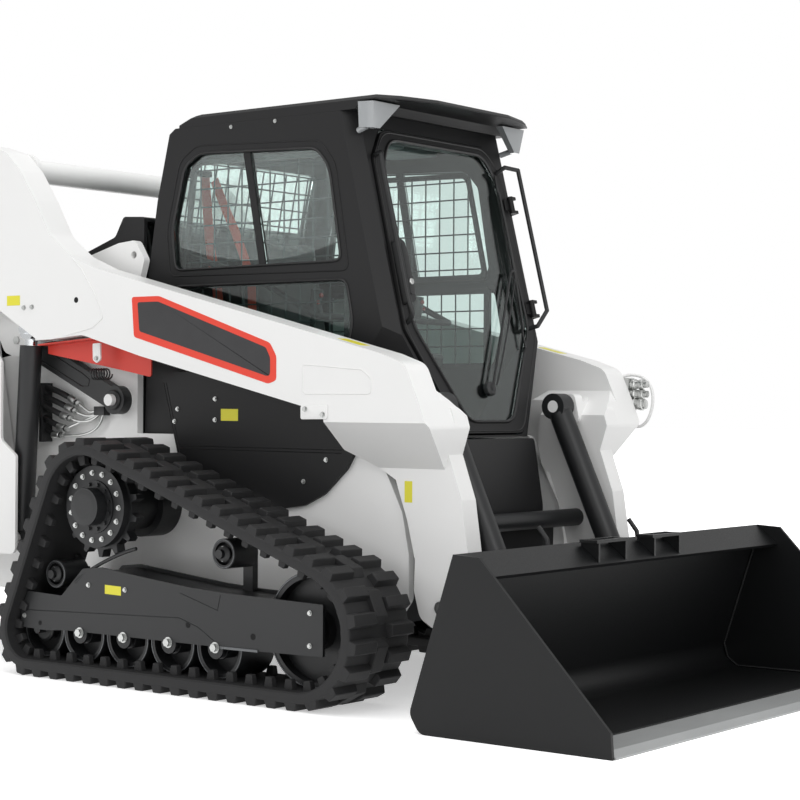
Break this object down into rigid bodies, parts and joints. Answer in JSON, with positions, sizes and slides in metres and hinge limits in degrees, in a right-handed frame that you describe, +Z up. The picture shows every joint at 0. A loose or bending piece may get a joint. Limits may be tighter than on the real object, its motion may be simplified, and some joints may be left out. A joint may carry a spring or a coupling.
{
  "type": "compact track loader",
  "caption": "Compact track loader with vertical-path lift arms, a closed cab, rubber tracks and a wide low-profile bucket.",
  "frame": {"origin": "on the ground under the middle of the machine's bounding box, arms down", "axes": "+X forward to the bucket, +Y to the machine's left, +Z up"},
  "size_m": [3.6, 1.981, 2.074],
  "materials": {
    "white_paint": "gloss",
    "charcoal_paint": "satin",
    "black_paint": "satin",
    "red_paint": "gloss",
    "cast_iron": "cast",
    "dark_steel": "satin",
    "steel": "worn",
    "chrome": "polished",
    "rubber": "moulded",
    "glass": "clear",
    "black_plastic": "moulded",
    "seat_vinyl": "vinyl",
    "lamp_grey": "clear",
    "red_lens": "clear"
  },
  "bodies": {
    "chassis": {"frame_sides": "white_paint", "frame_tub": "charcoal_paint", "cab_deck": "charcoal_paint", "rear_cheeks": "white_paint", "engine_block": "cast_iron", "track_left": "rubber", "track_right": "rubber", "sprockets": "dark_steel", "drive_hubs": "dark_steel", "track_frames": "charcoal_paint", "front_idlers": "dark_steel", "rear_idlers": "dark_steel", "track_rollers": "dark_steel", "carrier_rollers": "dark_steel", "cab_frame": "black_paint", "cab_roof": "black_paint", "side_windows": "glass", "window_bars": "black_paint", "side_guards": "black_paint", "rear_window": "glass", "work_lights": "lamp_grey", "cab_floor": "black_plastic", "front_panel": "black_paint", "side_panels": "black_plastic", "seat_base": "black_plastic", "seat_cushion": "seat_vinyl", "seat_back": "seat_vinyl", "consoles": "black_plastic", "joysticks": "black_plastic", "seat_bar": "charcoal_paint", "rear_lamps": "red_lens"},
    "control_links": {"control_links": "cast_iron"},
    "rear_links": {"rear_links": "white_paint"},
    "lift_arms": {"lift_arm_left": "white_paint", "lift_arm_right": "white_paint", "arm_cross_tube": "white_paint", "leg_cross_tube": "charcoal_paint", "arm_support": "red_paint", "aux_couplers": "steel"},
    "lift_barrels": {"lift_cylinder_barrels": "charcoal_paint"},
    "lift_rods": {"lift_cylinder_rods": "chrome"},
    "tilt_barrels": {"tilt_cylinder_barrels": "charcoal_paint"},
    "tilt_rods": {"tilt_cylinder_rods": "chrome"},
    "bucket_and_coupler": {"quick_coupler": "charcoal_paint", "coupler_levers": "charcoal_paint", "bucket": "black_paint", "cutting_edge": "steel", "bucket_steps": "black_paint"},
    "door": {"cab_door": "black_paint", "door_glass": "glass", "door_hinges": "black_paint", "door_handles": "black_paint", "wiper": "black_plastic"},
    "tailgate": {"tailgate": "charcoal_paint"},
    "hood": {"hood": "charcoal_paint"}
  },
  "joints": [
    {"name": "control_link_swing", "type": "hinge", "parent": "chassis", "child": "control_links", "pos_m": [-0.66, 0, 1.015], "axis": [0, 1, 0], "range_deg": [0, 58.31]},
    {"name": "arm_lift", "type": "hinge", "parent": "control_links", "child": "lift_arms", "pos_m": [-1.18, 0, 1.248], "axis": [0, -1, 0], "range_deg": [0, 124.3]},
    {"name": "rear_link_swing", "type": "hinge", "parent": "chassis", "child": "rear_links", "pos_m": [-1.3, 0, 0.7], "axis": [0, 1, 0], "range_deg": [0, 32.04]},
    {"name": "lift_barrel_swing", "type": "hinge", "parent": "chassis", "child": "lift_barrels", "pos_m": [-1.09, 0, 0.48], "axis": [0, 1, 0], "range_deg": [0, 13.18]},
    {"name": "lift_rod_slide", "type": "slide", "parent": "lift_barrels", "child": "lift_rods", "axis": [0.0616, 0, 0.9981], "range_m": [0, 0.4882]},
    {"name": "bucket_tilt", "type": "hinge", "parent": "lift_arms", "child": "bucket_and_coupler", "pos_m": [0.85, 0, 0.33], "axis": [0, 1, 0], "range_deg": [-28, 70]},
    {"name": "tilt_barrel_swing", "type": "hinge", "parent": "lift_arms", "child": "tilt_barrels", "pos_m": [0.735, 0, 1], "axis": [0, 1, 0], "range_deg": [-2.51, 6.25]},
    {"name": "tilt_rod_slide", "type": "slide", "parent": "tilt_barrels", "child": "tilt_rods", "axis": [0.415, 0, -0.9098], "range_m": [-0.07145, 0.17847]},
    {"name": "cab_door_hinge", "type": "hinge", "parent": "chassis", "child": "door", "pos_m": [0.59816, 0.402, 1.36593], "axis": [-0.2444, 0, 0.9697], "range_deg": [0, 75]},
    {"name": "tailgate_hinge", "type": "hinge", "parent": "chassis", "child": "tailgate", "pos_m": [-1.752, 0.51, 0.78], "axis": [0, 0, -1], "range_deg": [0, 100]},
    {"name": "hood_hinge", "type": "hinge", "parent": "chassis", "child": "hood", "pos_m": [-0.64, 0, 1.66], "axis": [0, 1, 0], "range_deg": [0, 30]}
  ],
  "couplings": [
    {"joint": "control_link_swing", "follows": "arm_lift", "ratio": 0.46903},
    {"joint": "rear_link_swing", "follows": "arm_lift", "ratio": 0.25771},
    {"joint": "lift_barrel_swing", "follows": "arm_lift", "ratio": 0.10598},
    {"joint": "lift_rod_slide", "follows": "arm_lift", "m_per_rad": 0.22501},
    {"joint": "tilt_barrel_swing", "follows": "bucket_tilt", "ratio": 0.089},
    {"joint": "tilt_rod_slide", "follows": "bucket_tilt", "m_per_rad": 0.146}
  ]
}
